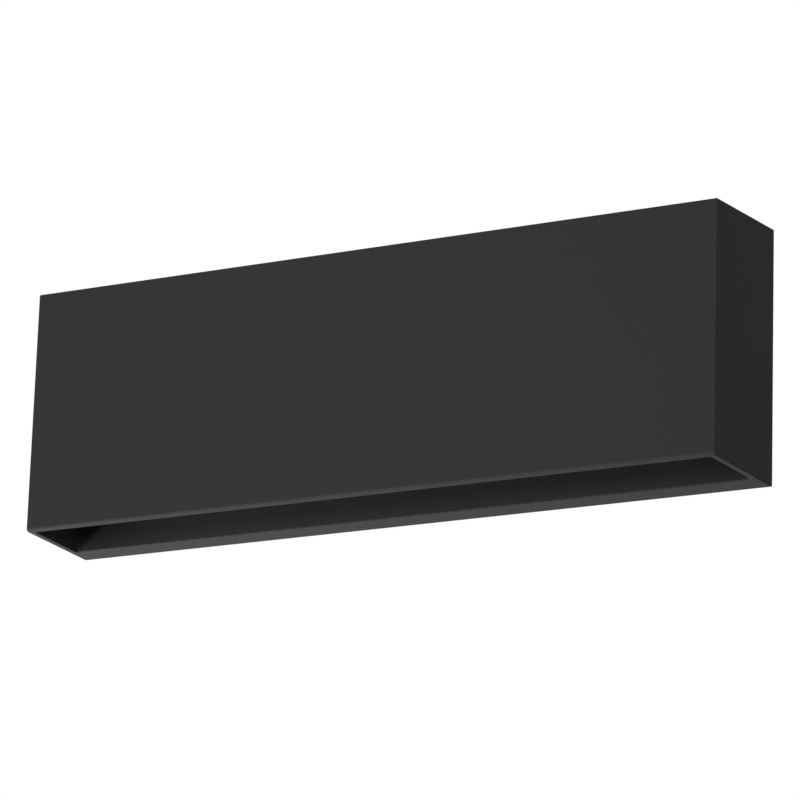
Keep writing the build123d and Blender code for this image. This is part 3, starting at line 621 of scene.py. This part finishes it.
def grow(tree, name, points, facing, finish, lengths):
    """Run a tree on points, and make of it a plain mesh with its normals out and its edges crisp."""
    seats = bpy.data.meshes.new(name)
    seats.from_pydata(points, [], [])
    piece = bpy.data.objects.new(name, seats)
    bpy.context.scene.collection.objects.link(piece)
    maker = piece.modifiers.new(tree.name, "NODES")
    maker.node_group = tree
    values = dict(lengths, Turn=UP.rotation_difference(facing).to_euler(), Finish=finish)
    for socket in tree.interface.items_tree:
        if socket.in_out == "INPUT" and socket.name in values:
            maker[socket.identifier] = values[socket.name]
    made = piece.evaluated_get(bpy.context.evaluated_depsgraph_get())
    mesh = bpy.data.meshes.new_from_object(made)
    piece.modifiers.clear()
    shape = bmesh.new()
    shape.from_mesh(mesh)
    bmesh.ops.recalc_face_normals(shape, faces=shape.faces)
    shape.to_mesh(mesh)
    shape.free()
    mesh.name = name
    mesh.shade_smooth()
    mesh.set_sharp_from_angle(angle=SMOOTH_ANGLE)
    piece.data = mesh
    bpy.data.meshes.remove(seats)
    return piece


def stand_in(piece, node):
    """Let a new piece take a CAD node's place and body."""
    body = next(name for name, nodes in frame["record"]["behaviour"]["bodies"].items() if node in nodes)
    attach(piece, body)
    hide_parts(node)


def screws_for(node, tree, facing, finish, pitch, edge):
    """Turned screws in place of a CAD node's plain ones."""
    sizes = [turned_sizes(points, facing) for points in islands(node)]
    first = sizes[0]
    headless = first["shank"] == 0
    shank = first["radius"] * HEADLESS_SHANK if headless else first["shank"]
    length = max(first["length"], pitch / 2)
    thread = min(THREAD_CUT * pitch, shank / 2)
    threaded = max(length - 2 * thread, pitch / 10)  # the ridge stays inside the shank at both ends
    piece = grow(tree, f"{node}_turned", [size["seat"] for size in sizes], facing, finish, {
        "Head Radius": first["radius"],
        "Head Height": first["height"],
        "Edge": edge,
        "Core Radius": shank - thread,
        "Length": length,
        "Thread Depth": thread,
        "Thread Length": threaded,
        "Turns": threaded / pitch,
        "Recess Reach": first["radius"] * (SOCKET_REACH if tree.name.startswith("Socket") else SLOT_REACH),
        "Recess Width": first["radius"] * SLOT_WIDTH,
        "Recess Depth": first["height"] * RECESS_DEPTH,
    })
    stand_in(piece, node)


def rings_for(node, tree, facing, finish, edge):
    """Rings with softened edges in place of a CAD node's plain ones."""
    sizes = [turned_sizes(points, facing) for points in islands(node)]
    first = sizes[0]
    piece = grow(tree, f"{node}_turned", [size["seat"] for size in sizes], facing, finish, {
        "Outer Radius": first["radius"],
        "Bore Radius": first["bore"],
        "Height": first["height"],
        "Edge": min(edge, first["height"] / 4),
    })
    stand_in(piece, node)


class WALLLIGHT_OT_casting(Operator):
    """Finish the cast housing and its bezel"""

    bl_idname = "wall_light.casting"
    bl_label = "Casting"

    def execute(self, context):
        colours, sizes = context.scene.wall_light_colours, context.scene.wall_light_sizes
        coat = powder_coat("Black powder coat", colours.coat, sizes.peel, roughness=0.74, gloss=0.1)
        dress(coat, "housing", "bezel")
        return {"FINISHED"}


class WALLLIGHT_OT_lens(Operator):
    """Finish the diffuser and its seal"""

    bl_idname = "wall_light.lens"
    bl_label = "Lens"

    def execute(self, context):
        colours = context.scene.wall_light_colours
        dress(opal_acrylic("Opal acrylic", colours.lens), "diffuser")
        seal = moulded("White silicone seal", colours.seal, roughness=0.5, grain=0.8 * MM, glow=0.3)
        dress(seal, "diffuser_seal")
        return {"FINISHED"}


class WALLLIGHT_OT_bracket(Operator):
    """Finish the wall bracket and the foam strip that closes on the wall"""

    bl_idname = "wall_light.bracket"
    bl_label = "Wall bracket"

    def execute(self, context):
        colours, sizes = context.scene.wall_light_colours, context.scene.wall_light_sizes
        dress(galvanised_sheet("Galvanised steel", colours.zinc, sizes.spangle), "wall_bracket")
        dress(foam_rubber("Closed-cell foam", colours.foam, sizes.pore), "wall_gasket")
        return {"FINISHED"}


class WALLLIGHT_OT_screws(Operator):
    """Turn every screw, washer and nut"""

    bl_idname = "wall_light.screws"
    bl_label = "Screws and washers"

    def execute(self, context):
        colours, sizes = context.scene.wall_light_colours, context.scene.wall_light_sizes
        zinc = plated_steel("Zinc-plated steel", colours.plate, roughness=0.32, metallic=1.0)
        black = plated_steel("Black-oxide steel", colours.oxide, roughness=0.46, metallic=0.6)
        green = plated_steel("Green-dyed zinc", colours.ground, roughness=0.40, metallic=0.8)
        brass = plated_steel("Turned brass", colours.brass, roughness=0.28, metallic=1.0)
        drives = ("Socket", "Cross", "Slot", "Hex head")
        socket, cross, slot, hexagon = [screw_tree(drive) for drive in drives]
        small, large, edge = sizes.small_pitch, sizes.large_pitch, sizes.edge
        screws_for("bezel_screws", socket, DOWN, black, small, edge)
        screws_for("lock_screws", socket, UP, black, large, edge)
        screws_for("board_screws", cross, DOWN, zinc, small, edge)
        screws_for("driver_screws", cross, UP, zinc, small, edge)
        screws_for("block_screws", cross, TO_WALL, zinc, small, edge)
        screws_for("earth_screw", cross, TO_WALL, zinc, large, edge)
        screws_for("terminal_screws", slot, TO_WALL, zinc, small, edge)
        screws_for("ground_screw", hexagon, TO_FRONT, green, large, edge)
        ring = ring_tree()
        rings_for("lock_washers", ring, UP, zinc, edge)
        rings_for("clinch_nuts", ring, UP, zinc, edge)
        rings_for("earth_washer", ring, TO_WALL, zinc, edge)
        rings_for("ground_washer", ring, TO_FRONT, brass, edge)
        return {"FINISHED"}


class WALLLIGHT_OT_light_boards(Operator):
    """Finish the tray and its boards, and set the light-emitting packages on them"""

    bl_idname = "wall_light.light_boards"
    bl_label = "Light boards"

    def execute(self, context):
        colours, sizes = context.scene.wall_light_colours, context.scene.wall_light_sizes
        coat = powder_coat("White powder coat", colours.tray, sizes.peel, roughness=0.45, gloss=0.5)
        dress(coat, "led_tray")
        mask = solder_mask("White solder mask", colours.mask, sizes.track)
        dress(mask, "led_board_left", "led_board_right")
        pad = filled_silicone("Thermal pad", colours.pad, speck=0.4 * MM, roughness=0.75)
        dress(pad, "thermal_pads")
        nylon = moulded("White nylon", colours.nylon, roughness=0.45, grain=0.5 * MM, glow=0.15)
        dress(nylon, "board_link", "board_socket")
        chips = [turned_sizes(points, DOWN) for points in islands("led_chips")]
        height = chips[0]["height"]
        half_width = chips[0]["radius"] / math.sqrt(2)
        well = half_width - sizes.package_rim
        seats = [chip["seat"] for chip in chips]
        tree = package_tree()
        cup = moulded("Moulded package", colours.package, roughness=0.42, grain=0.3 * MM)
        packages = grow(tree, "led_packages", seats, DOWN, cup, {
            "Half Width": half_width, "Height": height, "Well Radius": well, "Well Depth": sizes.well,
        })
        stand_in(packages, "led_chips")
        fill = filled_silicone("Phosphor silicone", colours.phosphor, speck=0.2 * MM, roughness=0.45)
        # The fill starts below the well's floor and stops half way to the rim
        low = [seat + DOWN * (height - 2 * sizes.well) for seat in seats]
        phosphor = grow(tree, "led_phosphor", low, DOWN, fill, {
            "Half Width": well / math.sqrt(2), "Height": 1.5 * sizes.well, "Well Radius": well / 2,
            "Well Depth": 0.0,
        })
        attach(phosphor, "lamp")
        return {"FINISHED"}


class WALLLIGHT_OT_driver(Operator):
    """Finish the driver's case, foot and caps"""

    bl_idname = "wall_light.driver"
    bl_label = "Driver"

    def execute(self, context):
        colours, sizes = context.scene.wall_light_colours, context.scene.wall_light_sizes
        case = extruded_aluminium("Extruded aluminium", colours.aluminium, sizes.drawn)
        dress(case, "driver_case", "driver_foot")
        caps = moulded("Moulded end caps", colours.caps, roughness=0.6, grain=0.5 * MM)
        dress(caps, "driver_supply_cap", "driver_output_cap")
        return {"FINISHED"}


class WALLLIGHT_OT_wiring(Operator):
    """Finish the leads, the grommets and the terminals"""

    bl_idname = "wall_light.wiring"
    bl_label = "Wiring"

    def execute(self, context):
        colours = context.scene.wall_light_colours
        dress(pvc_insulation("Black vinyl", colours.live), "live_lead", "negative_lead")
        dress(pvc_insulation("White vinyl", colours.neutral), "neutral_lead")
        dress(pvc_insulation("Red vinyl", colours.positive), "positive_lead")
        dress(pvc_insulation("Green vinyl", colours.earth), "earth_lead")
        rubber = moulded("Nitrile rubber", colours.rubber, roughness=0.72, grain=0.6 * MM)
        dress(rubber, "lead_grommet", "tray_grommets")
        nylon = moulded("Natural nylon", colours.nylon, roughness=0.42, grain=0.5 * MM, glow=0.2)
        dress(nylon, "terminal_block")
        brass = plated_steel("Drawn brass tube", colours.brass, roughness=0.30, metallic=1.0)
        dress(brass, "terminal_inserts")
        tin = plated_steel("Tinned copper", colours.tin, roughness=0.38, metallic=1.0)
        dress(tin, "earth_ring")
        return {"FINISHED"}


class WALLLIGHT_OT_studio(Operator):
    """Set up the floor, the surroundings, the lamps and the camera"""

    bl_idname = "wall_light.studio"
    bl_label = "Studio"

    def execute(self, context):
        scene, studio = context.scene, context.scene.wall_light_studio
        scene.view_settings.view_transform = "Standard"
        self.lay_floor(scene, studio)
        self.light_surroundings(scene, studio)
        for name, (place, side) in LAMPS.items():
            self.hang_lamp(scene, f"{name}_lamp", Vector(place), side, getattr(studio, f"{name}_power"))
        self.place_camera(scene, studio)
        return {"FINISHED"}

    def seen_rays(self, tree):
        """1 for a ray from the camera, or from a mirror or glass that it sees, and 0 for a ray of light."""
        rays = put(tree, "ShaderNodeLightPath").outputs
        seen = rays["Is Camera Ray"]
        for way in ("Is Glossy Ray", "Is Transmission Ray"):
            seen = put(tree, "ShaderNodeMath", {0: seen, 1: rays[way]}, operation="MAXIMUM").outputs[0]
        return seen

    def lay_floor(self, scene, studio):
        """A wide floor of matt paint: pale where it is seen, with a shadow, and white towards its edge."""
        patch = 2.0  # the paint's shade drifts over this length
        finish, tree, shader, place = new_finish("Matt floor paint", **{"Emission Color": WHITE})
        cloud = put(tree, "ShaderNodeTexNoise", {
            "Vector": place, "Scale": 1 / patch, "Detail": 1.0,
        }).outputs[0]
        work_surface(
            tree, shader, scene.wall_light_colours.floor, cloud,
            spread=0.01, roughness=0.9, swing=0.02,
        )
        flat = put(tree, "ShaderNodeMapping", {
            "Vector": place, "Scale": (1 / FLOOR_HALF, 1 / FLOOR_HALF, 0),
        }).outputs[0]
        # The gradient is 1 in the floor's middle and 0 at its edge
        gradient = put(tree, "ShaderNodeTexGradient", {"Vector": flat}, gradient_type="SPHERICAL")
        pale_to, white_from = FLOOR_FADE
        level = put(tree, "ShaderNodeMapRange", {
            "Value": gradient.outputs["Fac"], "From Min": 1 - white_from, "From Max": 1 - pale_to,
            "To Min": 1.0, "To Max": studio.floor_glow,
        }).outputs[0]
        seen = self.seen_rays(tree)
        glow = put(tree, "ShaderNodeMath", {0: seen, 1: level}, operation="MULTIPLY").outputs[0]
        tree.links.new(glow, shader.inputs["Emission Strength"])
        sides = ((-1, -1), (1, -1), (1, 1), (-1, 1))
        corners = [(x * FLOOR_HALF, y * FLOOR_HALF, -studio.floor_drop) for x, y in sides]
        mesh = bpy.data.meshes.new("floor")
        mesh.from_pydata(corners, [], [(0, 1, 2, 3)])
        mesh.materials.append(finish)
        floor = bpy.data.objects.new("floor", mesh)
        scene.collection.objects.link(floor)

    def light_surroundings(self, scene, studio):
        """White to the camera and in reflections, and an even soft light on everything else."""
        scene.world = bpy.data.worlds.new("Studio")
        scene.world.use_nodes = True
        tree = scene.world.node_tree
        tree.nodes.clear()
        seen = self.seen_rays(tree)
        soft = put(tree, "ShaderNodeBackground", {"Color": WHITE, "Strength": studio.ambient}).outputs[0]
        white = put(tree, "ShaderNodeBackground", {"Color": WHITE, "Strength": 1.0}).outputs[0]
        both = put(tree, "ShaderNodeMixShader", {0: seen, 1: soft, 2: white}).outputs[0]
        put(tree, "ShaderNodeOutputWorld", {"Surface": both})

    def hang_lamp(self, scene, name, place, side, power):
        """A square soft box that faces the wall light and isn't seen itself."""
        data = bpy.data.lights.new(name, "AREA")
        data.shape = "SQUARE"
        data.size = side
        data.energy = power
        lamp = bpy.data.objects.new(name, data)
        lamp.location = place
        lamp.rotation_mode = "QUATERNION"
        lamp.rotation_quaternion = (LAMP_AIM - place).to_track_quat("-Z", "Y")
        lamp.visible_camera = False
        scene.collection.objects.link(lamp)

    def place_camera(self, scene, studio):
        """A long lens below the light and to its right, looking up."""
        data = bpy.data.cameras.new("camera")
        data.lens = studio.lens
        data.sensor_width = SENSOR
        data.clip_end = FAR_CLIP
        camera = bpy.data.objects.new("camera", data)
        bearing, rise = studio.bearing, studio.rise
        level = math.cos(rise)
        view = Vector((-math.sin(bearing) * level, math.cos(bearing) * level, math.sin(rise)))
        camera.location = studio.camera_place
        camera.rotation_mode = "QUATERNION"
        camera.rotation_quaternion = view.to_track_quat("-Z", "Y") @ Quaternion(UP, studio.roll)
        scene.collection.objects.link(camera)
        scene.camera = camera


OPERATORS = (
    WALLLIGHT_OT_casting,
    WALLLIGHT_OT_lens,
    WALLLIGHT_OT_bracket,
    WALLLIGHT_OT_screws,
    WALLLIGHT_OT_light_boards,
    WALLLIGHT_OT_driver,
    WALLLIGHT_OT_wiring,
    WALLLIGHT_OT_studio,
)


class WALLLIGHT_PT_sidebar(Panel):
    """List the light's steps, colours, sizes and studio"""

    bl_label = "Wall Light"
    bl_space_type = "VIEW_3D"
    bl_region_type = "UI"
    bl_category = "Wall Light"

    def draw(self, context):
        for step in OPERATORS:
            self.layout.operator(step.bl_idname)
        for name in GROUPS:
            group = getattr(context.scene, name)
            column = self.layout.column()
            for choice in group.__annotations__:
                column.prop(group, choice)


GROUPS = {
    "wall_light_colours": WallLightColours,
    "wall_light_sizes": WallLightSizes,
    "wall_light_studio": WallLightStudio,
}


def register():
    for kind in (*GROUPS.values(), *OPERATORS, WALLLIGHT_PT_sidebar):
        bpy.utils.register_class(kind)
    for name, kind in GROUPS.items():
        setattr(bpy.types.Scene, name, PointerProperty(type=kind))


def unregister():
    for name in GROUPS:
        delattr(bpy.types.Scene, name)
    for kind in reversed((*GROUPS.values(), *OPERATORS, WALLLIGHT_PT_sidebar)):
        bpy.utils.unregister_class(kind)


def main():
    register()
    for step in OPERATORS:
        getattr(bpy.ops.wall_light, step.bl_idname.split(".")[1])()


if __name__ == "__main__":
    main()
